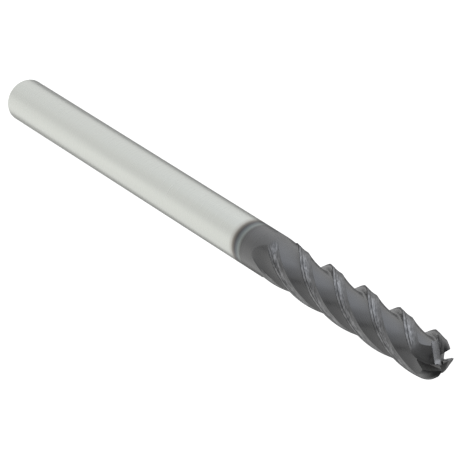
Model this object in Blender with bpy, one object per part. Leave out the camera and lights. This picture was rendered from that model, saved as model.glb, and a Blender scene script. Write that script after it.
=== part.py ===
"""Four-flute ball-nose end mill, ground from one carbide rod.

Metres, +Z up.  The origin is the centre of the butt face and +Z runs along the tool's axis
to the tip.  Tooth 1 crosses +X at the ball's equator.  The tool is one rigid piece; the
objects here are its zones, divided where its finish changes, and they meet face to face.
"""

import math

import bmesh
import bpy
from mathutils import Matrix, Vector

MM = 0.001

# Overall sizes
DIAMETER = 3.175 * MM
OVERALL_LENGTH = 57.15 * MM
FLUTE_LENGTH = 21.3 * MM  # from the tip back to the flutes' last trace
NECK_LENGTH = 1.25 * MM  # dark plain rod between the flutes and the coating's edge
FADE_LENGTH = 1.55 * MM  # the coating thins out over this length
BUTT_CHAMFER = 0.35 * MM

# Flutes
TEETH = 4
HELIX_ANGLE = math.radians(30)
RAKE_ANGLE = math.radians(9)
CORE_RADIUS = 0.985 * MM  # where the rake face and the flute's back would meet
GULLET_RADIUS = 0.16 * MM
FLUTE_BACK_BULGE = 0.095 * MM
BALL_LEAD = math.radians(1)  # the flutes run this far ahead of the edges at the tip

# Lands: two flat facets behind each edge
PRIMARY_WIDTH = math.radians(8)
PRIMARY_RELIEF = math.radians(16)
HEEL_ANGLE = math.radians(31.4)
SECONDARY_RELIEF = math.radians(28.5)
POLE_FADE = math.radians(30)  # the relief runs out to nothing over this much of the ball
HEEL_DROP = math.radians(25)  # the ball's stock behind a heel is down to its level by here
LAND_DELAY = 1.2 * MM  # from the flutes' last trace to the relief grinding's first touch
LAND_RUN_IN = 0.95 * MM

# Run-out at the shank end of each flute
RUNOUT_SLANT = 1.05 * MM  # how much later the rake side starts than the heel side
RUNOUT_AT_RAKE = 4.4 * MM  # length over which the rake side reaches full depth
RUNOUT_AT_HEEL = 2.5 * MM
RUNOUT_BOW = 1.5  # 1 would start the flute on a straight slant

# Gashes that open the teeth on the ball: a rake face, a floor and a wall
GASH_TWIST = math.radians(28)
GASH_SLOPE = math.radians(46)  # the gash root's dip below the horizontal
GASH_OPENING = math.radians(66)  # from the rake face to the floor
GASH_WALL = math.radians(14)  # from the rake face to the wall
GASH_FLOOR = 0.46 * MM
LONG_GASH_DEPTH = 0.16 * MM  # of the root below the pole, at the axis, for teeth 1 and 3
SHORT_GASH_DEPTH = 0.26 * MM  # and for teeth 2 and 4, whose edges stop short of the axis

# Mesh fineness, and the stock that the cutters remove
ROUND_SEGMENTS = 64
TWIST_STEP = math.radians(7.5)  # between one section and the next
BALL_RINGS = 10
FACET_PARTS = 3
ROUND_PARTS = 5
FILLET_PARTS = 3
BACK_PARTS = 6
TANGENT_STEP = 0.02  # share of the flute's back that sets its slope at each end
SECTION_GAP = 0.3  # the least gap between the first two sections, in section steps
ROUNDING = 1e-6  # lets a section that falls on the last height itself count
EDGE_STOCK = math.radians(3)  # the blank's land carried past the edge
BLANK_MARGIN = 0.1 * MM  # plain rod on the fluted end before its flutes

# Cutters, in radii unless they say otherwise
CUTTER_REACH = 1.3
CUTTER_OVERRUN = 0.2 * MM  # past the blank at its shank end
TIP_OVERRUN = 0.6 * MM
CLEAR_OF_ROD = 0.4  # as a share of the flute's depth, before the run-out begins
EDGE_STEP = 0.04  # rake-face points this close to the edge, outside and inside
HEEL_OVERRUN = (0.12, 0.55)
OUTSIDE_PARTS = 4
GASH_START = -0.6
GASH_END = 2.8
GASH_REACH = 3.0

RADIUS = DIAMETER / 2
LEAD = math.pi * DIAMETER / math.tan(HELIX_ANGLE)
TOOTH_PITCH = 2 * math.pi / TEETH
HEEL_AHEAD = TOOTH_PITCH - HEEL_ANGLE  # from an edge forward to the leading tooth's heel
BALL_CENTRE_Z = OVERALL_LENGTH - RADIUS
RUNOUT_Z = OVERALL_LENGTH - FLUTE_LENGTH
LAND_Z = RUNOUT_Z + LAND_DELAY
NECK_END_Z = RUNOUT_Z - BLANK_MARGIN
COATING_Z = RUNOUT_Z - NECK_LENGTH
FADE_Z = COATING_Z - FADE_LENGTH


def clear_scene():
    for thing in list(bpy.data.objects):
        bpy.data.objects.remove(thing, do_unlink=True)


def material(name, colour, roughness, metallic):
    made = bpy.data.materials.new(name)
    made.use_nodes = True
    shader = made.node_tree.nodes["Principled BSDF"]
    shader.inputs["Base Color"].default_value = (*colour, 1)
    shader.inputs["Roughness"].default_value = roughness
    shader.inputs["Metallic"].default_value = metallic
    return made


def add_object(name, points, faces, look=None):
    """A mesh object with its faces turned outwards."""
    mesh = bpy.data.meshes.new(name)
    mesh.from_pydata(points, [], faces)
    shape = bmesh.new()
    shape.from_mesh(mesh)
    bmesh.ops.recalc_face_normals(shape, faces=shape.faces)
    shape.to_mesh(mesh)
    shape.free()
    made = bpy.data.objects.new(name, mesh)
    bpy.context.collection.objects.link(made)
    if look:
        mesh.materials.append(look)
    return made


def loft(rings, tip=None):
    """Points and faces of a closed skin over rings of equal size, ending flat or in a tip."""
    count = len(rings[0])
    points = [point for ring in rings for point in ring]
    faces = [tuple(reversed(range(count)))]
    for level in range(len(rings) - 1):
        low, high = level * count, (level + 1) * count
        for i in range(count):
            j = (i + 1) % count
            faces.append((low + i, low + j, high + j, high + i))
    top = (len(rings) - 1) * count
    if tip is None:
        faces.append(tuple(range(top, top + count)))
    else:
        points.append(tip)
        for i in range(count):
            faces.append((top + i, top + (i + 1) % count, len(points) - 1))
    return points, faces


def joined(parts):
    """Several closed skins as one mesh."""
    points, faces = [], []
    for more_points, more_faces in parts:
        base = len(points)
        points += more_points
        faces += [tuple(base + i for i in face) for face in more_faces]
    return points, faces


def polar(radius, angle, z):
    return (radius * math.cos(angle), radius * math.sin(angle), z)


def turned(name, outline, look):
    """A solid of revolution from (radius, z) pairs, from the bottom face to the top face."""
    rings = [
        [polar(r, 2 * math.pi * i / ROUND_SEGMENTS, z) for i in range(ROUND_SEGMENTS)]
        for r, z in outline
    ]
    made = add_object(name, *loft(rings), look)
    made.data.shade_smooth()
    made.data.set_sharp_from_angle(angle=math.radians(30))
    return made


def ball_edge_angle(latitude):
    """Where tooth 1's rake plane meets the ball at this latitude."""
    run = (math.sin(latitude) - 1) / math.cos(latitude)
    return GASH_TWIST + math.asin(math.sin(GASH_TWIST) * run)


def edge_angle(z):
    """Where tooth 1's flute stands at this height: on its edge, and on the ball just ahead."""
    if z <= BALL_CENTRE_Z:
        return 2 * math.pi * (z - BALL_CENTRE_Z) / LEAD
    height = min(1.0, (z - BALL_CENTRE_Z) / RADIUS)
    core = CORE_RADIUS / RADIUS
    reach = max(core, math.sqrt(1 - height**2))
    latitude = min(math.asin(height), math.acos(core))
    ahead = (1 - reach) * math.tan(RAKE_ANGLE) / reach + BALL_LEAD * height
    return ball_edge_angle(latitude) + ahead


def section_heights(low, high):
    """Heights of the sections from low to high, shared by the blank and the cutters."""
    rise = LEAD * TWIST_STEP / (2 * math.pi)
    first = math.ceil((low - BALL_CENTRE_Z) / rise + SECTION_GAP)
    last = math.floor((high - BALL_CENTRE_Z) / rise + ROUNDING)
    return [low] + [BALL_CENTRE_Z + k * rise for k in range(first, last + 1)]


# --- the relieved blank -----------------------------------------------------------------


def land_corners():
    """(angle behind the edge, share of the radius) where the land's facets begin and end."""
    x, y = 1.0, 0.0
    corners = [(0.0, 1.0)]
    for until, relief in ((PRIMARY_WIDTH, PRIMARY_RELIEF), (HEEL_ANGLE, SECONDARY_RELIEF)):
        # follow the facet from (x, y) to the ray that leaves the axis at this angle
        facet_x, facet_y = -math.sin(relief), -math.cos(relief)
        ray_x, ray_y = math.cos(until), -math.sin(until)
        step = (ray_x * y - ray_y * x) / (ray_y * facet_x - ray_x * facet_y)
        x, y = x + step * facet_x, y + step * facet_y
        corners.append((until, math.hypot(x, y)))
    return corners


def blank_profile():
    """(angle behind the edge, share of the radius) round one tooth's sector.

    It starts a little ahead of the edge, on the primary facet carried forward, so that the
    flute's rake face cuts the edge itself.
    """
    profile = [
        (-ahead, math.cos(PRIMARY_RELIEF) / math.cos(PRIMARY_RELIEF + ahead))
        for ahead in (EDGE_STOCK, EDGE_STOCK / 3)
    ]
    corners = land_corners()
    for (a0, r0), (a1, r1) in zip(corners, corners[1:]):
        for k in range(1, FACET_PARTS + 1):
            t = k / FACET_PARTS
            x = (1 - t) * r0 * math.cos(a0) + t * r1 * math.cos(a1)
            y = (1 - t) * r0 * math.sin(a0) + t * r1 * math.sin(a1)
            profile.append((math.atan2(y, x), math.hypot(x, y)))
    round_from = HEEL_ANGLE + 2 * EDGE_STOCK
    round_until = TOOTH_PITCH - 2 * EDGE_STOCK
    for k in range(ROUND_PARTS + 1):
        profile.append((round_from + (round_until - round_from) * k / ROUND_PARTS, 1.0))
    return profile


def blank_ring(profile, turn, relief_share, z, latitude=0.0):
    """One section of the blank, at a height on the rod or at a latitude on the ball."""
    ring = []
    lowered = min(1.0, latitude / HEEL_DROP) * (1 - land_corners()[-1][1])
    for tooth in range(TEETH):
        for behind, share in reversed(profile):
            if behind > HEEL_ANGLE + EDGE_STOCK:
                share -= lowered
            reach = RADIUS * (1 - (1 - share) * relief_share)
            angle = turn + tooth * TOOTH_PITCH - behind
            height = z + reach * math.sin(latitude)
            ring.append(polar(reach * math.cos(latitude), angle, height))
    return ring


def relieved_blank(look):
    profile = blank_profile()
    rings = []
    for z in section_heights(NECK_END_Z, BALL_CENTRE_Z):
        relief_share = min(1.0, max(0.0, (z - LAND_Z) / LAND_RUN_IN))
        rings.append(blank_ring(profile, edge_angle(z), relief_share, z))
    for k in range(1, BALL_RINGS):
        latitude = math.pi / 2 * k / BALL_RINGS
        relief_share = min(1.0, (math.pi / 2 - latitude) / POLE_FADE)
        turn = ball_edge_angle(latitude)
        rings.append(blank_ring(profile, turn, relief_share, BALL_CENTRE_Z, latitude))
    points, faces = loft(rings, tip=(0.0, 0.0, OVERALL_LENGTH))
    return add_object("fluted_end", points, faces, look)


# --- the flute cutters ------------------------------------------------------------------


def back_arc(corner, heel):
    """The flute's back, an arc that bulges outwards from corner (t = 0) to heel (t = 1)."""
    bulge = FLUTE_BACK_BULGE / RADIUS
    span = math.dist(corner, heel)
    outward = ((heel[1] - corner[1]) / span, (corner[0] - heel[0]) / span)
    bend = (span**2 / 4 + bulge**2) / (2 * bulge)
    centre = [(corner[i] + heel[i]) / 2 - (bend - bulge) * outward[i] for i in (0, 1)]
    half = math.asin(span / 2 / bend)
    middle = math.atan2(outward[1], outward[0])

    def at(t):
        angle = middle + half * (2 * t - 1)
        return (centre[0] + bend * math.cos(angle), centre[1] + bend * math.sin(angle))

    return at


def flute_profile():
    """(x, y) in radii: x along the edge's own radius, y ahead of the rake face."""
    core = CORE_RADIUS / RADIUS
    gullet = GULLET_RADIUS / RADIUS
    heel_share = land_corners()[-1][1]
    heel = (heel_share * math.cos(HEEL_AHEAD), heel_share * math.sin(HEEL_AHEAD))
    slope = math.tan(RAKE_ANGLE)
    corner = (core, -(1 - core) * slope)
    back = back_arc(corner, heel)

    # the gullet's fillet, tangent to the rake face and to the back
    start = back(TANGENT_STEP)
    turn = math.atan2(start[1] - corner[1], start[0] - corner[0]) - RAKE_ANGLE
    setback = gullet / math.tan(turn / 2)
    first = (corner[0] + setback * math.cos(RAKE_ANGLE), corner[1] + setback * math.sin(RAKE_ANGLE))
    hub = (first[0] - gullet * math.sin(RAKE_ANGLE), first[1] + gullet * math.cos(RAKE_ANGLE))

    rake_radii = (CUTTER_REACH, 1 + EDGE_STEP, 1 - EDGE_STEP, (1 + first[0]) / 2)
    rake = [(x, (x - 1) * slope) for x in rake_radii]
    fillet = []
    for k in range(FILLET_PARTS + 1):
        angle = RAKE_ANGLE - math.pi / 2 - (math.pi - turn) * k / FILLET_PARTS
        fillet.append((hub[0] + gullet * math.cos(angle), hub[1] + gullet * math.sin(angle)))
    begin = setback / math.dist(corner, heel)
    arc = [back(begin + (1 - begin) * k / BACK_PARTS) for k in range(1, BACK_PARTS + 1)]
    before = back(1 - TANGENT_STEP)
    away = math.atan2(heel[1] - before[1], heel[0] - before[0])
    beyond = [
        (heel[0] + reach * math.cos(away), heel[1] + reach * math.sin(away))
        for reach in HEEL_OVERRUN
    ]
    return rake + fillet + arc + beyond


def flute_depth(psi, z):
    """The share of its full depth that the flute has here; below 0 it is clear of the rod."""
    rakeward = max(0.0, 1 - psi / HEEL_AHEAD)
    start = RUNOUT_Z + RUNOUT_SLANT * rakeward**RUNOUT_BOW
    length = RUNOUT_AT_HEEL + (RUNOUT_AT_RAKE - RUNOUT_AT_HEEL) * rakeward
    t = (z - start) / length
    if t < 0:
        return max(-CLEAR_OF_ROD, 2 * t)  # the same slope, carried on upwards
    return 1 - max(0.0, 1 - t) ** 2


def flute_cutter(tooth):
    profile = [(math.hypot(x, y), math.atan2(y, x)) for x, y in flute_profile()]
    outside = [
        (CUTTER_REACH, HEEL_AHEAD * k / OUTSIDE_PARTS) for k in range(OUTSIDE_PARTS - 1, 0, -1)
    ]
    rings = []
    for z in section_heights(NECK_END_Z - CUTTER_OVERRUN, OVERALL_LENGTH + TIP_OVERRUN):
        turn = edge_angle(z) + tooth * TOOTH_PITCH
        ring = []
        for share, psi in profile + outside:
            if share <= 1:
                share = 1 - (1 - share) * flute_depth(psi, z)
            ring.append(polar(share * RADIUS, turn + psi, z))
        rings.append(ring)
    return loft(rings)


# --- the gash cutters -------------------------------------------------------------------


def gash_cutter(tooth):
    """A prism along the gash's root: the ball edge's rake plane, the floor and the wall."""
    tilt = math.tan(GASH_TWIST)
    ahead = Vector((-tilt, 1.0, -tilt)).normalized()
    dip = Vector((math.cos(GASH_SLOPE), 0.0, -math.sin(GASH_SLOPE)))
    root = (dip - dip.dot(ahead) * ahead).normalized()
    outward = root.cross(ahead)
    floor = GASH_FLOOR * (math.cos(GASH_OPENING) * outward + math.sin(GASH_OPENING) * ahead)
    wall = math.cos(GASH_WALL) * outward + math.sin(GASH_WALL) * ahead
    reach = GASH_REACH * RADIUS
    outline = (reach * outward, Vector(), floor, floor + reach * wall)
    depth = LONG_GASH_DEPTH if tooth % 2 == 0 else SHORT_GASH_DEPTH
    below_pole = Vector((0.0, 0.0, OVERALL_LENGTH - depth))
    turn = Matrix.Rotation(tooth * TOOTH_PITCH, 3, "Z")
    ends = []
    for along in (GASH_START, GASH_END):
        place = below_pole + along * RADIUS * root
        ends.append([turn @ (place + corner) for corner in outline])
    return loft(ends)


def cut(target, cutter):
    cutter.hide_render = True
    cutter.display_type = "WIRE"
    boolean = target.modifiers.new(cutter.name, "BOOLEAN")
    boolean.operation = "DIFFERENCE"
    boolean.solver = "MANIFOLD"  # EXACT leaves the gashed pole open
    boolean.object = cutter


# --- the tool ---------------------------------------------------------------------------


def build():
    clear_scene()
    carbide = material("ground_carbide", (0.60, 0.61, 0.59), 0.28, 1.0)
    fade = material("thin_coating", (0.30, 0.31, 0.33), 0.30, 1.0)
    coating = material("dark_coating", (0.13, 0.13, 0.14), 0.42, 1.0)

    butt = [(RADIUS - BUTT_CHAMFER, 0.0), (RADIUS, BUTT_CHAMFER)]
    turned("shank", butt + [(RADIUS, FADE_Z)], carbide)
    turned("coating_edge", [(RADIUS, FADE_Z), (RADIUS, COATING_Z)], fade)
    turned("coated_neck", [(RADIUS, COATING_Z), (RADIUS, NECK_END_Z)], coating)

    fluted_end = relieved_blank(coating)
    flutes = joined(flute_cutter(tooth) for tooth in range(TEETH))
    cut(fluted_end, add_object("flute_cutters", *flutes))
    for tooth in range(TEETH):
        cut(fluted_end, add_object(f"gash_cutter_{tooth + 1}", *gash_cutter(tooth)))


build()
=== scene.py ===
"""Looks for the four-flute ball-nose end mill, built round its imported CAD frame.

Metres, +Z up.  The tool stands on its butt at the origin with its tip up.  Every size that
the frame gives is read from it; the rest of the ground shape is worked out as in the part.
"""

import math

import bmesh
import bpy
from mathutils import Matrix, Vector


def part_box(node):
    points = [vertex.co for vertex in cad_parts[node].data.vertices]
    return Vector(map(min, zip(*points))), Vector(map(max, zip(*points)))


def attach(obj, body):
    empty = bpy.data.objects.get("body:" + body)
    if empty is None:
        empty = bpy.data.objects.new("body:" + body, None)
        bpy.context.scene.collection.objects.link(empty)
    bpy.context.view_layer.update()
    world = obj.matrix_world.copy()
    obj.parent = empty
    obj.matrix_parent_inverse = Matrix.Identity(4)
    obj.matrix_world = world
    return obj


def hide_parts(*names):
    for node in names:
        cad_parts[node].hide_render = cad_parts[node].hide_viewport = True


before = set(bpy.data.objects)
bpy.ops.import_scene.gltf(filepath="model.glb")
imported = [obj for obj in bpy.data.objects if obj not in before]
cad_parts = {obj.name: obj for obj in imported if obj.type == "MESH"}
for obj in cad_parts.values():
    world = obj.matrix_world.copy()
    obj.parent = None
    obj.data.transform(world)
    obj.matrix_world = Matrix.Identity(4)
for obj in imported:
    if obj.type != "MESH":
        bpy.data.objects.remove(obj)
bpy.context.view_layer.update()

MM = 0.001

# --- what the frame gives ---------------------------------------------------------------

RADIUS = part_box("shank")[1].x
FADE_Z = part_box("shank")[1].z
COATING_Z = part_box("coating_edge")[1].z
NECK_END_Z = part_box("coated_neck")[1].z
TIP_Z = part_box("fluted_end")[1].z
BALL_CENTRE_Z = TIP_Z - RADIUS

# --- the ground shape -------------------------------------------------------------------

BUTT_CHAMFER = 0.35 * MM
CHAMFER_EDGE = 0.03 * MM  # rounding of the chamfer's two edges

TEETH = 4
HELIX_ANGLE = math.radians(30)
RAKE_ANGLE = math.radians(9)
CORE_RADIUS = 0.985 * MM
GULLET_RADIUS = 0.16 * MM
FLUTE_BACK_BULGE = 0.095 * MM
BALL_LEAD = math.radians(1)  # the flutes run this far ahead of the edges at the tip

PRIMARY_WIDTH = math.radians(8)
PRIMARY_RELIEF = math.radians(16)
HEEL_ANGLE = math.radians(31.4)
SECONDARY_RELIEF = math.radians(28.5)
POLE_FADE = math.radians(30)  # the relief runs out to nothing over this much of the ball
HEEL_DROP = math.radians(25)  # the ball's stock behind a heel is down to its level by here
LAND_DELAY = 1.2 * MM
LAND_RUN_IN = 0.95 * MM

RUNOUT_SLANT = 1.05 * MM
RUNOUT_AT_RAKE = 4.4 * MM
RUNOUT_AT_HEEL = 2.5 * MM
RUNOUT_BOW = 1.5

GASH_TWIST = math.radians(28)
GASH_SLOPE = math.radians(46)  # the gash root's dip below the horizontal
GASH_OPENING = math.radians(66)  # from the rake face to the floor
GASH_WALL = math.radians(14)  # from the rake face to the wall
GASH_FLOOR = 0.46 * MM
LONG_GASH_DEPTH = 0.16 * MM  # of the root below the pole, at the axis, for teeth 1 and 3
SHORT_GASH_DEPTH = 0.26 * MM  # and for teeth 2 and 4, whose edges stop short of the axis

BLANK_MARGIN = 0.1 * MM
RUNOUT_Z = NECK_END_Z + BLANK_MARGIN
LAND_Z = RUNOUT_Z + LAND_DELAY
LEAD = 2 * math.pi * RADIUS / math.tan(HELIX_ANGLE)
TOOTH_PITCH = 2 * math.pi / TEETH
HEEL_AHEAD = TOOTH_PITCH - HEEL_ANGLE

# --- mesh fineness ----------------------------------------------------------------------

ROUND_SEGMENTS = 256
TWIST_STEP = math.radians(1.875)
BALL_RINGS = 36
FACET_PARTS = 5
ROUND_PARTS = 8
FILLET_PARTS = 8
BACK_PARTS = 16
ARC_PARTS = 5
SHARP_ANGLE = math.radians(24)
FLAT_MATCH = 0.9995  # a face this well aligned with a gash's floor or wall lies on it
MERGE_DISTANCE = 0.0015 * MM
TANGENT_STEP = 0.02  # share of the flute's back that sets its slope at each end
SECTION_GAP = 0.3  # the least gap between the first two sections, in section steps
ROUNDING = 1e-6  # lets a section that falls on the last height itself count
EDGE_STOCK = math.radians(3)  # the blank's land carried past the edge

# --- cutters, in radii unless they say otherwise ----------------------------------------

CUTTER_REACH = 1.3
CUTTER_OVERRUN = 0.2 * MM
TIP_OVERRUN = 0.6 * MM
CLEAR_OF_ROD = 0.4
EDGE_STEP = 0.04
HEEL_OVERRUN = (0.12, 0.55)
OUTSIDE_PARTS = 4
GASH_START = -0.6
GASH_END = 2.8
GASH_REACH = 3.0


# --- mesh helpers -----------------------------------------------------------------------


def add_object(name, points, faces):
    """A mesh object with its faces turned outwards."""
    mesh = bpy.data.meshes.new(name)
    mesh.from_pydata(points, [], faces)
    shape = bmesh.new()
    shape.from_mesh(mesh)
    bmesh.ops.recalc_face_normals(shape, faces=shape.faces)
    shape.to_mesh(mesh)
    shape.free()
    made = bpy.data.objects.new(name, mesh)
    bpy.context.collection.objects.link(made)
    return made


def loft(rings, tip=None):
    """Points and faces of a closed skin over rings of equal size, ending flat or in a tip."""
    count = len(rings[0])
    points = [point for ring in rings for point in ring]
    faces = [tuple(reversed(range(count)))]
    for level in range(len(rings) - 1):
        low, high = level * count, (level + 1) * count
        for i in range(count):
            j = (i + 1) % count
            faces.append((low + i, low + j, high + j, high + i))
    top = (len(rings) - 1) * count
    if tip is None:
        faces.append(tuple(range(top, top + count)))
    else:
        points.append(tip)
        for i in range(count):
            faces.append((top + i, top + (i + 1) % count, len(points) - 1))
    return points, faces


def joined(parts):
    """Several closed skins as one mesh."""
    points, faces = [], []
    for more_points, more_faces in parts:
        base = len(points)
        points += more_points
        faces += [tuple(base + i for i in face) for face in more_faces]
    return points, faces


def polar(radius, angle, z):
    return (radius * math.cos(angle), radius * math.sin(angle), z)


def shade(made):
    made.data.shade_smooth()
    made.data.set_sharp_from_angle(angle=SHARP_ANGLE)


def turned(name, outline):
    """A solid of revolution from (radius, z) pairs, from the bottom face to the top face."""
    rings = [
        [polar(r, 2 * math.pi * i / ROUND_SEGMENTS, z) for i in range(ROUND_SEGMENTS)]
        for r, z in outline
    ]
    made = add_object(name, *loft(rings))
    shade(made)
    return made


def rounded(corner, before, after, radius):
    """Points of an arc that rounds an outline's corner."""
    into = (Vector(before) - Vector(corner)).normalized()
    away = (Vector(after) - Vector(corner)).normalized()
    half = into.angle(away) / 2
    start = Vector(corner) + into * radius / math.tan(half)
    hub = Vector(corner) + (into + away).normalized() * radius / math.sin(half)
    spoke = start - hub
    turn = spoke.angle_signed(Vector(corner) + away * radius / math.tan(half) - hub)
    points = []
    for k in range(ARC_PARTS + 1):
        swung = Matrix.Rotation(-turn * k / ARC_PARTS, 2) @ spoke
        points.append(tuple(hub + swung))
    return points


# --- the ground shape, as in the part ---------------------------------------------------


def ball_edge_angle(latitude):
    """Where tooth 1's rake plane meets the ball at this latitude."""
    run = (math.sin(latitude) - 1) / math.cos(latitude)
    return GASH_TWIST + math.asin(math.sin(GASH_TWIST) * run)


def edge_angle(z):
    """Where tooth 1's flute stands at this height: on its edge, and on the ball just ahead."""
    if z <= BALL_CENTRE_Z:
        return 2 * math.pi * (z - BALL_CENTRE_Z) / LEAD
    height = min(1.0, (z - BALL_CENTRE_Z) / RADIUS)
    reach = max(CORE_RADIUS / RADIUS, math.sqrt(1 - height**2))
    latitude = min(math.asin(height), math.acos(CORE_RADIUS / RADIUS))
    ahead = (1 - reach) * math.tan(RAKE_ANGLE) / reach
    return ball_edge_angle(latitude) + ahead + BALL_LEAD * height


def section_heights(low, high):
    """Heights of the sections from low to high, shared by the blank and the cutters."""
    rise = LEAD * TWIST_STEP / (2 * math.pi)
    first = math.ceil((low - BALL_CENTRE_Z) / rise + SECTION_GAP)
    last = math.floor((high - BALL_CENTRE_Z) / rise + ROUNDING)
    return [low] + [BALL_CENTRE_Z + k * rise for k in range(first, last + 1)]


def land_corners():
    """(angle behind the edge, share of the radius) where the land's facets begin and end."""
    x, y = 1.0, 0.0
    corners = [(0.0, 1.0)]
    for until, relief in ((PRIMARY_WIDTH, PRIMARY_RELIEF), (HEEL_ANGLE, SECONDARY_RELIEF)):
        facet_x, facet_y = -math.sin(relief), -math.cos(relief)
        ray_x, ray_y = math.cos(until), -math.sin(until)
        step = (ray_x * y - ray_y * x) / (ray_y * facet_x - ray_x * facet_y)
        x, y = x + step * facet_x, y + step * facet_y
        corners.append((until, math.hypot(x, y)))
    return corners


def blank_profile():
    """(angle behind the edge, share of the radius) round one tooth's sector."""
    profile = [
        (-ahead, math.cos(PRIMARY_RELIEF) / math.cos(PRIMARY_RELIEF + ahead))
        for ahead in (EDGE_STOCK, EDGE_STOCK / 3)
    ]
    corners = land_corners()
    for (a0, r0), (a1, r1) in zip(corners, corners[1:]):
        for k in range(1, FACET_PARTS + 1):
            t = k / FACET_PARTS
            x = (1 - t) * r0 * math.cos(a0) + t * r1 * math.cos(a1)
            y = (1 - t) * r0 * math.sin(a0) + t * r1 * math.sin(a1)
            profile.append((math.atan2(y, x), math.hypot(x, y)))
    round_from = HEEL_ANGLE + 2 * EDGE_STOCK
    round_until = TOOTH_PITCH - 2 * EDGE_STOCK
    for k in range(ROUND_PARTS + 1):
        profile.append((round_from + (round_until - round_from) * k / ROUND_PARTS, 1.0))
    return profile


def blank_ring(profile, turn, relief_share, z, latitude=0.0):
    """One section of the blank, at a height on the rod or at a latitude on the ball."""
    ring = []
    lowered = min(1.0, latitude / HEEL_DROP) * (1 - land_corners()[-1][1])
    for tooth in range(TEETH):
        for behind, share in reversed(profile):
            if behind > HEEL_ANGLE + EDGE_STOCK:
                share -= lowered
            reach = RADIUS * (1 - (1 - share) * relief_share)
            angle = turn + tooth * TOOTH_PITCH - behind
            height = z + reach * math.sin(latitude)
            ring.append(polar(reach * math.cos(latitude), angle, height))
    return ring


def relieved_blank(name):
    profile = blank_profile()
    rings = []
    for z in section_heights(NECK_END_Z, BALL_CENTRE_Z):
        relief_share = min(1.0, max(0.0, (z - LAND_Z) / LAND_RUN_IN))
        rings.append(blank_ring(profile, edge_angle(z), relief_share, z))
    for k in range(1, BALL_RINGS):
        latitude = math.pi / 2 * k / BALL_RINGS
        relief_share = min(1.0, (math.pi / 2 - latitude) / POLE_FADE)
        turn = ball_edge_angle(latitude)
        rings.append(blank_ring(profile, turn, relief_share, BALL_CENTRE_Z, latitude))
    points, faces = loft(rings, tip=(0.0, 0.0, TIP_Z))
    return add_object(name, points, faces)


def back_arc(corner, heel):
    """The flute's back, an arc that bulges outwards from corner (t = 0) to heel (t = 1)."""
    bulge = FLUTE_BACK_BULGE / RADIUS
    span = math.dist(corner, heel)
    outward = ((heel[1] - corner[1]) / span, (corner[0] - heel[0]) / span)
    bend = (span**2 / 4 + bulge**2) / (2 * bulge)
    centre = [(corner[i] + heel[i]) / 2 - (bend - bulge) * outward[i] for i in (0, 1)]
    half = math.asin(span / 2 / bend)
    middle = math.atan2(outward[1], outward[0])

    def at(t):
        angle = middle + half * (2 * t - 1)
        return (centre[0] + bend * math.cos(angle), centre[1] + bend * math.sin(angle))

    return at


def flute_profile():
    """(x, y) in radii: x along the edge's own radius, y ahead of the rake face."""
    core = CORE_RADIUS / RADIUS
    gullet = GULLET_RADIUS / RADIUS
    heel_share = land_corners()[-1][1]
    heel = (heel_share * math.cos(HEEL_AHEAD), heel_share * math.sin(HEEL_AHEAD))
    slope = math.tan(RAKE_ANGLE)
    corner = (core, -(1 - core) * slope)
    back = back_arc(corner, heel)

    # the gullet's fillet, tangent to the rake face and to the back
    start = back(TANGENT_STEP)
    turn = math.atan2(start[1] - corner[1], start[0] - corner[0]) - RAKE_ANGLE
    setback = gullet / math.tan(turn / 2)
    first = (corner[0] + setback * math.cos(RAKE_ANGLE), corner[1] + setback * math.sin(RAKE_ANGLE))
    hub = (first[0] - gullet * math.sin(RAKE_ANGLE), first[1] + gullet * math.cos(RAKE_ANGLE))

    rake_radii = (CUTTER_REACH, 1 + EDGE_STEP, 1 - EDGE_STEP, (1 + first[0]) / 2)
    rake = [(x, (x - 1) * slope) for x in rake_radii]
    fillet = []
    for k in range(FILLET_PARTS + 1):
        angle = RAKE_ANGLE - math.pi / 2 - (math.pi - turn) * k / FILLET_PARTS
        fillet.append((hub[0] + gullet * math.cos(angle), hub[1] + gullet * math.sin(angle)))
    begin = setback / math.dist(corner, heel)
    arc = [back(begin + (1 - begin) * k / BACK_PARTS) for k in range(1, BACK_PARTS + 1)]
    before = back(1 - TANGENT_STEP)
    away = math.atan2(heel[1] - before[1], heel[0] - before[0])
    beyond = [
        (heel[0] + reach * math.cos(away), heel[1] + reach * math.sin(away))
        for reach in HEEL_OVERRUN
    ]
    return rake + fillet + arc + beyond


def flute_depth(psi, z):
    """The share of its full depth that the flute has here; below 0 it is clear of the rod."""
    rakeward = max(0.0, 1 - psi / HEEL_AHEAD)
    start = RUNOUT_Z + RUNOUT_SLANT * rakeward**RUNOUT_BOW
    length = RUNOUT_AT_HEEL + (RUNOUT_AT_RAKE - RUNOUT_AT_HEEL) * rakeward
    t = (z - start) / length
    if t < 0:
        return max(-CLEAR_OF_ROD, 2 * t)
    return 1 - max(0.0, 1 - t) ** 2


def flute_cutter(tooth):
    profile = [(math.hypot(x, y), math.atan2(y, x)) for x, y in flute_profile()]
    outside = [
        (CUTTER_REACH, HEEL_AHEAD * k / OUTSIDE_PARTS) for k in range(OUTSIDE_PARTS - 1, 0, -1)
    ]
    rings = []
    for z in section_heights(NECK_END_Z - CUTTER_OVERRUN, TIP_Z + TIP_OVERRUN):
        turn = edge_angle(z) + tooth * TOOTH_PITCH
        ring = []
        for share, psi in profile + outside:
            if share <= 1:
                share = 1 - (1 - share) * flute_depth(psi, z)
            ring.append(polar(share * RADIUS, turn + psi, z))
        rings.append(ring)
    return loft(rings)


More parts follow.
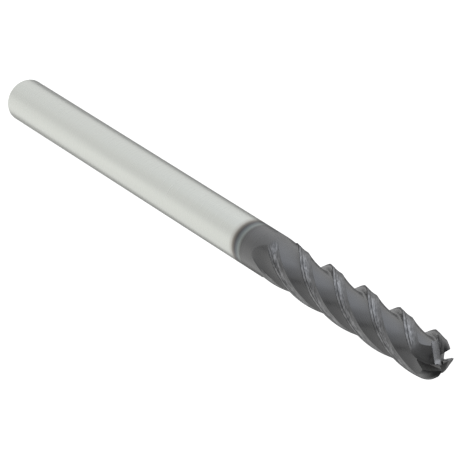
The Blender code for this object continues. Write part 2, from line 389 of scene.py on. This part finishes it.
def gash_cutter(tooth):
    """A prism along the gash's root: the ball edge's rake plane, the floor and the wall."""
    tilt = math.tan(GASH_TWIST)
    ahead = Vector((-tilt, 1.0, -tilt)).normalized()
    dip = Vector((math.cos(GASH_SLOPE), 0.0, -math.sin(GASH_SLOPE)))
    root = (dip - dip.dot(ahead) * ahead).normalized()
    outward = root.cross(ahead)
    floor_run = math.cos(GASH_OPENING) * outward + math.sin(GASH_OPENING) * ahead
    wall_run = math.cos(GASH_WALL) * outward + math.sin(GASH_WALL) * ahead
    depth = LONG_GASH_DEPTH if tooth % 2 == 0 else SHORT_GASH_DEPTH
    turn = Matrix.Rotation(tooth * TOOTH_PITCH, 3, "Z")
    outline = [
        GASH_REACH * RADIUS * outward,
        Vector((0.0, 0.0, 0.0)),
        GASH_FLOOR * floor_run,
        GASH_FLOOR * floor_run + GASH_REACH * RADIUS * wall_run,
    ]
    ends = []
    for along in (GASH_START, GASH_END):
        place = Vector((0.0, 0.0, TIP_Z - depth)) + along * RADIUS * root
        ends.append([turn @ (place + point) for point in outline])
    return loft(ends)


def cut(target, cutter):
    """Takes cutter away from target for good."""
    boolean = target.modifiers.new(cutter.name, "BOOLEAN")
    boolean.operation = "DIFFERENCE"
    boolean.solver = "MANIFOLD"
    boolean.object = cutter
    evaluated = target.evaluated_get(bpy.context.evaluated_depsgraph_get())
    mesh = bpy.data.meshes.new_from_object(evaluated)
    target.modifiers.clear()
    target.data = mesh
    bpy.data.objects.remove(cutter, do_unlink=True)


def cleaned(made):
    """Closes up the slivers that the cuts leave along the edges."""
    shape = bmesh.new()
    shape.from_mesh(made.data)
    bmesh.ops.remove_doubles(shape, verts=shape.verts, dist=MERGE_DISTANCE)
    bmesh.ops.dissolve_degenerate(shape, edges=shape.edges, dist=MERGE_DISTANCE)
    shape.to_mesh(made.data)
    shape.free()


# --- materials --------------------------------------------------------------------------


class Nodes:
    """A new material's node tree, with short calls to add and join its nodes."""

    def __init__(self, name):
        self.material = bpy.data.materials.new(name)
        self.material.use_nodes = True
        self.tree = self.material.node_tree
        self.shader = self.tree.nodes["Principled BSDF"]
        self.place = self.add("ShaderNodeTexCoord").outputs["Object"]
        parts = self.add("ShaderNodeSeparateXYZ", self.place).outputs
        self.x, self.y, self.z = parts["X"], parts["Y"], parts["Z"]

    def add(self, kind, *values, **settings):
        """A node; each value is a number or another node's output, in the order of its sockets."""
        node = self.tree.nodes.new(kind)
        for key, value in settings.items():
            setattr(node, key, value)
        for socket, value in zip(node.inputs, values):
            if isinstance(value, bpy.types.NodeSocket):
                self.tree.links.new(value, socket)
            elif value is not None:
                socket.default_value = value
        return node

    def maths(self, operation, *values):
        return self.add("ShaderNodeMath", *values, operation=operation).outputs[0]

    def stretched(self, x, y, across, along):
        """A noise's place, with its own scales across the axis and along it."""
        scaled = [self.maths("MULTIPLY", *pair) for pair in ((x, across), (y, across), (self.z, along))]
        return self.add("ShaderNodeCombineXYZ", *scaled).outputs[0]

    def ramp(self, value, stops):
        """Colours or shades along a value; the value is already on the ramp's own 0 to 1."""
        node = self.add("ShaderNodeValToRGB", value)
        elements = node.color_ramp.elements
        while len(elements) < len(stops):
            elements.new(0.5)
        for element, (position, colour) in zip(elements, stops):
            element.position = position
            if isinstance(colour, float):
                colour = (colour, colour, colour)
            element.color = (*colour, 1)
        return node.outputs["Color"]

    def span(self, value, low, high, to_low=0.0, to_high=1.0, smooth=False):
        node = self.add("ShaderNodeMapRange", value, low, high, to_low, to_high)
        if smooth:
            node.interpolation_type = "SMOOTHSTEP"
        return node.outputs[0]

    def noise(self, place, scale, detail=2.0, roughness=0.5):
        node = self.add("ShaderNodeTexNoise")
        node.inputs["Scale"].default_value = scale
        node.inputs["Detail"].default_value = detail
        node.inputs["Roughness"].default_value = roughness
        self.tree.links.new(place, node.inputs["Vector"])
        return node.outputs["Fac"]

    def mix(self, share, low, high, blend="MIX"):
        node = self.add("ShaderNodeMix", data_type="RGBA", blend_type=blend)
        for socket, value in (("Factor", share), ("A", low), ("B", high)):
            index = {"Factor": 0, "A": 6, "B": 7}[socket]
            if isinstance(value, bpy.types.NodeSocket):
                self.tree.links.new(value, node.inputs[index])
            elif isinstance(value, float) and index:
                node.inputs[index].default_value = (value, value, value, 1)
            elif isinstance(value, tuple):
                node.inputs[index].default_value = (*value, 1)
            else:
                node.inputs[index].default_value = value
        return node.outputs[2]

    def into(self, socket, value):
        if isinstance(value, bpy.types.NodeSocket):
            self.tree.links.new(value, self.shader.inputs[socket])
        else:
            self.shader.inputs[socket].default_value = value

    def bump(self, height, depth, strength=1.0):
        """Relief on the shader: height 0 to 1 stands for this depth in metres."""
        node = self.add("ShaderNodeBump")
        node.inputs["Strength"].default_value = strength
        node.inputs["Distance"].default_value = depth
        self.tree.links.new(height, node.inputs["Height"])
        self.tree.links.new(node.outputs[0], self.shader.inputs["Normal"])


BARE = (0.585, 0.600, 0.565)
DARK = (0.042, 0.042, 0.043)
PAINTED_SHADE_COLOUR = (0.030, 0.030, 0.031)  # painted shade: dark lines along the edges, joins and heels, where rake faces and steps between facets fall into shadow
COATING_IOR = 1.8
FADE_MARGIN = 0.3 * MM  # the fade's colours reach this far past it at each end
FADE_DRIFT = 0.02 * MM  # how far the fade's rings wander along the axis
RING_RELIEF = 0.0004 * MM  # bump heights
MARK_RELIEF = 0.0012 * MM
GASH_RELIEF = 0.0006 * MM
HEEL_SHADE_WIDTH = 0.030  # widths of the painted shade lines, in radians
JOIN_SHADE_WIDTH = 0.022
EDGE_SHADE_WIDTH = 0.030
HEEL_BLEND = 0.02  # radians over which flute gives way to land
LAND_REACH = (0.90, 0.93)  # shares of the radius between which flute gives way to land
# painted light: the gash floors are painted pale as lit, the walls a dimmer lit copy of the same ground
# finish
GASH_FLOOR_PAINTED_LIGHT = 0.62
GASH_WALL_PAINTED_LIGHT = 0.24


def rod_material(name):
    """Bare ground carbide that turns, along the axis, into the dark coating."""
    n = Nodes(name)
    drift = n.noise(n.place, 700.0, 1.0)
    z = n.maths("ADD", n.z, n.span(drift, 0.3, 0.7, -FADE_DRIFT, FADE_DRIFT))
    along = n.span(z, FADE_Z - FADE_MARGIN, COATING_Z + FADE_MARGIN)
    reach = COATING_Z - FADE_Z + 2 * FADE_MARGIN

    def at(millimetres):
        """Millimetres after the coating's first trace, on the ramp's own scale."""
        return (millimetres * MM + FADE_MARGIN) / reach

    film = n.ramp(
        along,
        [
            (at(-0.25), BARE),
            (at(0.08), (0.46, 0.455, 0.425)),
            (at(0.34), (0.170, 0.156, 0.138)),
            (at(0.58), (0.072, 0.070, 0.072)),
            (at(0.80), (0.120, 0.132, 0.138)),
            (at(1.06), (0.205, 0.228, 0.222)),
            (at(1.20), (0.150, 0.158, 0.150)),
            (at(1.36), (0.034, 0.034, 0.034)),
            (at(1.50), (0.020, 0.020, 0.021)),
            (at(1.78), DARK),
        ],
    )
    # faint rings of the grinding, and fainter streaks along the rod
    rings = n.noise(n.stretched(n.x, n.y, 60.0, 12000.0), 1.0, 3.0, 0.6)
    streaks = n.noise(n.stretched(n.x, n.y, 1500.0, 40.0), 1.0, 2.0)
    ring_tone = n.span(rings, 0.25, 0.75, 0.96, 1.03)
    tone = n.maths("ADD", ring_tone, n.span(streaks, 0.3, 0.7, -0.025, 0.02))
    n.into("Base Color", n.mix(1.0, film, tone, "MULTIPLY"))
    n.into("Metallic", n.span(along, at(1.05), at(1.45), 1.0, 0.0))
    n.into("Roughness", n.span(rings, 0.25, 0.75, 0.24, 0.34))
    n.into("IOR", COATING_IOR)
    n.bump(rings, RING_RELIEF)
    return n.material


def coated_material(name):
    """Dark coating over the wheel marks of the flutes and lands, with painted shade lines along the
    edges, joins and heels.
    """
    n = Nodes(name)
    turn = n.maths("MULTIPLY", n.maths("SUBTRACT", n.z, BALL_CENTRE_Z), -2 * math.pi / LEAD)
    straight = n.add("ShaderNodeVectorRotate", n.place, None, None, None, rotation_type="Z_AXIS")
    n.tree.links.new(turn, straight.inputs["Angle"])
    parts = n.add("ShaderNodeSeparateXYZ", straight.outputs[0]).outputs
    ahead = n.maths("ARCTAN2", parts["Y"], parts["X"])
    sector = n.maths("MODULO", n.maths("ADD", ahead, 2 * math.pi), TOOTH_PITCH)
    squares = n.maths("ADD", n.maths("MULTIPLY", n.x, n.x), n.maths("MULTIPLY", n.y, n.y))
    reach = n.maths("SQRT", squares)
    # the lands' own look starts with the relief grinding and stops at the ball
    begun = n.span(n.z, LAND_Z - 0.1 * MM, LAND_Z + 0.5 * MM)
    off_ball = n.span(n.z, BALL_CENTRE_Z - 0.2 * RADIUS, BALL_CENTRE_Z + 0.25 * RADIUS, 1.0, 0.0)
    outer = n.span(reach, *(share * RADIUS for share in LAND_REACH))
    where = n.maths("MULTIPLY", n.maths("MULTIPLY", begun, off_ball), outer)
    land = n.span(sector, HEEL_AHEAD - HEEL_BLEND, HEEL_AHEAD + HEEL_BLEND)
    land = n.maths("MULTIPLY", land, where)

    # fine wheel marks along the flutes, and shorter, mottled ones along the lands
    straight_x, straight_y = parts["X"], parts["Y"]
    flute_marks = n.noise(n.stretched(straight_x, straight_y, 9000.0, 250.0), 1.0, 3.0, 0.6)
    land_marks = n.noise(n.stretched(straight_x, straight_y, 8000.0, 2200.0), 1.0, 4.0, 0.7)
    cloud = n.noise(n.place, 900.0, 3.0, 0.6)
    flute = n.mix(n.span(cloud, 0.35, 0.65), (0.028, 0.028, 0.029), (0.036, 0.037, 0.040))
    flute = n.mix(1.0, flute, n.span(flute_marks, 0.3, 0.7, 0.85, 1.15), "MULTIPLY")
    ground = n.ramp(land_marks, [(0.40, (0.100, 0.101, 0.104)), (0.66, (0.340, 0.342, 0.346))])

    # painted shade: thin dark lines along the edges, the facets' joins and the heels, where the rake
    # faces and the steps between facets lie in shadow
    def shade_line(angle, width):
        off = n.maths("ABSOLUTE", n.maths("SUBTRACT", sector, angle))
        return n.span(off, width / 2, width, 1.0, 0.0)

    join = TOOTH_PITCH - PRIMARY_WIDTH
    painted_shade = n.maths("MAXIMUM", shade_line(HEEL_AHEAD, HEEL_SHADE_WIDTH), shade_line(join, JOIN_SHADE_WIDTH))
    # painted shade along the cutting edges themselves
    edge = n.maths("MAXIMUM", shade_line(0.0, EDGE_SHADE_WIDTH), shade_line(TOOTH_PITCH, EDGE_SHADE_WIDTH))
    painted_shade = n.maths("MULTIPLY", n.maths("MAXIMUM", painted_shade, edge), where)
    n.into("Base Color", n.mix(painted_shade, n.mix(land, flute, ground), PAINTED_SHADE_COLOUR))
    n.into("Metallic", n.maths("MAXIMUM", land, painted_shade))
    relief = n.mix(land, flute_marks, land_marks)
    flute_gloss = n.span(relief, 0.3, 0.7, 0.22, 0.30)
    n.into("Roughness", n.mix(land, flute_gloss, n.span(relief, 0.3, 0.7, 0.34, 0.46)))
    n.into("IOR", COATING_IOR)
    n.bump(relief, MARK_RELIEF)
    return n.material


def painted_light_gash_material(name, tone):
    """Painted light: paler tones for the faces that the gashes leave, standing in for the light that
    they catch.
    """
    n = Nodes(name)
    grain = n.noise(n.place, 9000.0, 2.0)
    n.into("Base Color", n.ramp(grain, [(0.35, tone), (0.65, 1.3 * tone)]))
    n.into("Metallic", 0.2)
    n.into("Roughness", 0.36)
    n.bump(grain, GASH_RELIEF)
    return n.material


# --- the pieces -------------------------------------------------------------------------


def finished(made, material, node):
    """Puts a piece in its CAD node's place."""
    made.data.materials.clear()
    made.data.materials.append(material)
    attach(made, "root")
    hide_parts(node)


def shank():
    inner, outer = RADIUS - BUTT_CHAMFER, RADIUS
    face, side, end = (inner, 0.0), (outer, BUTT_CHAMFER), (outer, FADE_Z)
    outline = (
        rounded(face, (0.0, 0.0), side, CHAMFER_EDGE) + rounded(side, face, end, CHAMFER_EDGE) + [end]
    )
    made = turned("ground_shank", outline)
    finished(made, rod_material("ground_carbide"), "shank")


def coating_edge():
    made = turned("coating_edge_band", [(RADIUS, FADE_Z), (RADIUS, COATING_Z)])
    finished(made, rod_material("thin_coating"), "coating_edge")


def coated_neck():
    made = turned("dark_neck", [(RADIUS, COATING_Z), (RADIUS, NECK_END_Z)])
    finished(made, rod_material("neck_coating"), "coated_neck")


def gash_directions():
    """For each tooth, the directions in which its gash's floor and wall face."""
    found = []
    for tooth in range(TEETH):
        points, _ = gash_cutter(tooth)
        root, floor, wall, along = (Vector(points[i]) for i in (1, 2, 3, 5))
        run = along - root
        found.append(((floor - root).cross(run).normalized(), (wall - floor).cross(run).normalized()))
    return found


def fluted_end():
    made = relieved_blank("ground_flutes")
    cut(made, add_object("flute_cutters", *joined(flute_cutter(t) for t in range(TEETH))))
    for tooth in range(TEETH):
        cut(made, add_object(f"gash_cutter_{tooth + 1}", *gash_cutter(tooth)))
    cleaned(made)
    shade(made)
    finished(made, coated_material("dark_coating"), "fluted_end")
    # the gashes' floors and walls take the painted light tones
    made.data.materials.append(painted_light_gash_material("gash_floors_painted_light", GASH_FLOOR_PAINTED_LIGHT))
    made.data.materials.append(painted_light_gash_material("gash_walls_painted_light", GASH_WALL_PAINTED_LIGHT))
    sides = gash_directions()
    for face in made.data.polygons:
        if face.center.z < BALL_CENTRE_Z - RADIUS:
            continue
        for floor_way, wall_way in sides:
            if abs(face.normal.dot(floor_way)) > FLAT_MATCH:
                face.material_index = 1
            elif abs(face.normal.dot(wall_way)) > FLAT_MATCH:
                face.material_index = 2


# --- studio -----------------------------------------------------------------------------

CAMERA_PLACE = Vector((0.043502, 0.170217, 0.272448))
CAMERA_RIGHT = Vector((0.3487, -0.7952, 0.4960))
CAMERA_UP = Vector((0.9259, 0.2101, -0.3141))
LENS = 347.3
SENSOR = 36
FLOOR_SIZE = 4.0
FLOOR_DROP = 0.02 * MM  # just under the butt, so that the two don't meet in one plane
FLOOR_TONE = 0.8
FLOOR_GLOW = 1.0


def camera():
    data = bpy.data.cameras.new("camera")
    data.lens = LENS
    data.sensor_width = SENSOR
    data.clip_start = MM
    made = bpy.data.objects.new("camera", data)
    bpy.context.collection.objects.link(made)
    right = CAMERA_RIGHT.normalized()
    back = right.cross(CAMERA_UP).normalized()
    up = back.cross(right)
    facing = Matrix((right, up, back)).transposed().to_4x4()
    made.matrix_world = Matrix.Translation(CAMERA_PLACE) @ facing
    bpy.context.scene.camera = made


def floor():
    half = FLOOR_SIZE / 2
    corners = [(-half, -half, 0), (half, -half, 0), (half, half, 0), (-half, half, 0)]
    made = add_object("floor", corners, [(0, 1, 2, 3)])
    made.location.z = -FLOOR_DROP
    material = bpy.data.materials.new("pale_floor")
    material.use_nodes = True
    shader = material.node_tree.nodes["Principled BSDF"]
    shader.inputs["Base Color"].default_value = (FLOOR_TONE, FLOOR_TONE, FLOOR_TONE, 1)
    shader.inputs["Roughness"].default_value = 0.9
    shader.inputs["Emission Color"].default_value = (1, 1, 1, 1)
    shader.inputs["Emission Strength"].default_value = FLOOR_GLOW
    made.data.materials.append(material)
    made.visible_glossy = False
    made.visible_diffuse = False


# The dome: (sine of the elevation, how bright it is there)
DOME = [(-1.0, 1.0), (-0.8, 1.0), (-0.5, 0.84), (-0.1, 0.55), (0.2, 0.14), (1.0, 0.06)]

# Cards on the dome: (bearing, elevation, half-angle fully lit, half-angle of the outer edge,
# colour).  Bearings and elevations, in degrees, are the directions that the cards lie in, and
# a negative colour takes light away.
CARDS = [
    # beyond the tool as the camera sees it: dark, with a lighter patch lower down
    (255.6, -54.0, 29.0, 34.0, (-0.72, -0.72, -0.72)),
    (255.6, -70.0, 8.0, 20.0, (0.5, 0.5, 0.5)),
    # wide and soft, low round the tool
    (0.0, -8.0, 12.0, 50.0, (0.70, 0.75, 0.85)),
    (36.0, -28.0, 14.0, 34.0, (0.20, 0.22, 0.26)),
    (115.0, -30.0, 14.0, 36.0, (0.12, 0.12, 0.12)),
    (163.0, -52.0, 12.0, 40.0, (0.16, 0.16, 0.15)),
    # above the level of the floor, for the ball
    (60.0, 30.0, 10.0, 44.0, (0.42, 0.42, 0.42)),
    # a dark seam, which the flutes' backs reflect as a line
    (77.0, -24.0, 2.0, 7.0, (-0.45, -0.45, -0.45)),
    (81.0, -33.0, 2.0, 7.0, (-0.45, -0.45, -0.45)),
    (94.0, -41.0, 2.0, 7.0, (-0.45, -0.45, -0.45)),
]


def studio_light():
    """A dome that is white low down and grey overhead, with soft cards and one dark card."""
    world = bpy.data.worlds.new("studio")
    world.use_nodes = True
    tree = world.node_tree
    link = tree.links.new
    direction = tree.nodes.new("ShaderNodeTexCoord").outputs["Generated"]

    height = tree.nodes.new("ShaderNodeSeparateXYZ")
    link(direction, height.inputs[0])
    dome = tree.nodes.new("ShaderNodeValToRGB")
    scaled = tree.nodes.new("ShaderNodeMapRange")
    scaled.inputs["From Min"].default_value = -1.0
    link(height.outputs["Z"], scaled.inputs["Value"])
    link(scaled.outputs[0], dome.inputs[0])
    elements = dome.color_ramp.elements
    while len(elements) < len(DOME):
        elements.new(0.5)
    for element, (sine, glow) in zip(elements, DOME):
        element.position = (sine + 1) / 2
        element.color = (glow, glow, glow, 1)
    total = dome.outputs["Color"]

    for bearing, elevation, inner, outer, colour in CARDS:
        b, e = math.radians(bearing), math.radians(elevation)
        toward = tree.nodes.new("ShaderNodeVectorMath")
        toward.operation = "DOT_PRODUCT"
        toward.inputs[1].default_value = (
            math.cos(e) * math.cos(b),
            math.cos(e) * math.sin(b),
            math.sin(e),
        )
        edge = tree.nodes.new("ShaderNodeMapRange")
        edge.interpolation_type = "SMOOTHSTEP"
        edge.inputs["From Min"].default_value = math.cos(math.radians(outer))
        edge.inputs["From Max"].default_value = math.cos(math.radians(inner))
        card = tree.nodes.new("ShaderNodeVectorMath")
        card.operation = "MULTIPLY_ADD"
        card.inputs[1].default_value = colour
        link(direction, toward.inputs[0])
        link(toward.outputs["Value"], edge.inputs["Value"])
        link(edge.outputs[0], card.inputs[0])
        link(total, card.inputs[2])
        total = card.outputs[0]
    link(total, tree.nodes["Background"].inputs["Color"])
    bpy.context.scene.world = world
    bpy.context.scene.view_settings.view_transform = "Standard"


camera()
floor()
studio_light()
shank()
coating_edge()
coated_neck()
fluted_end()
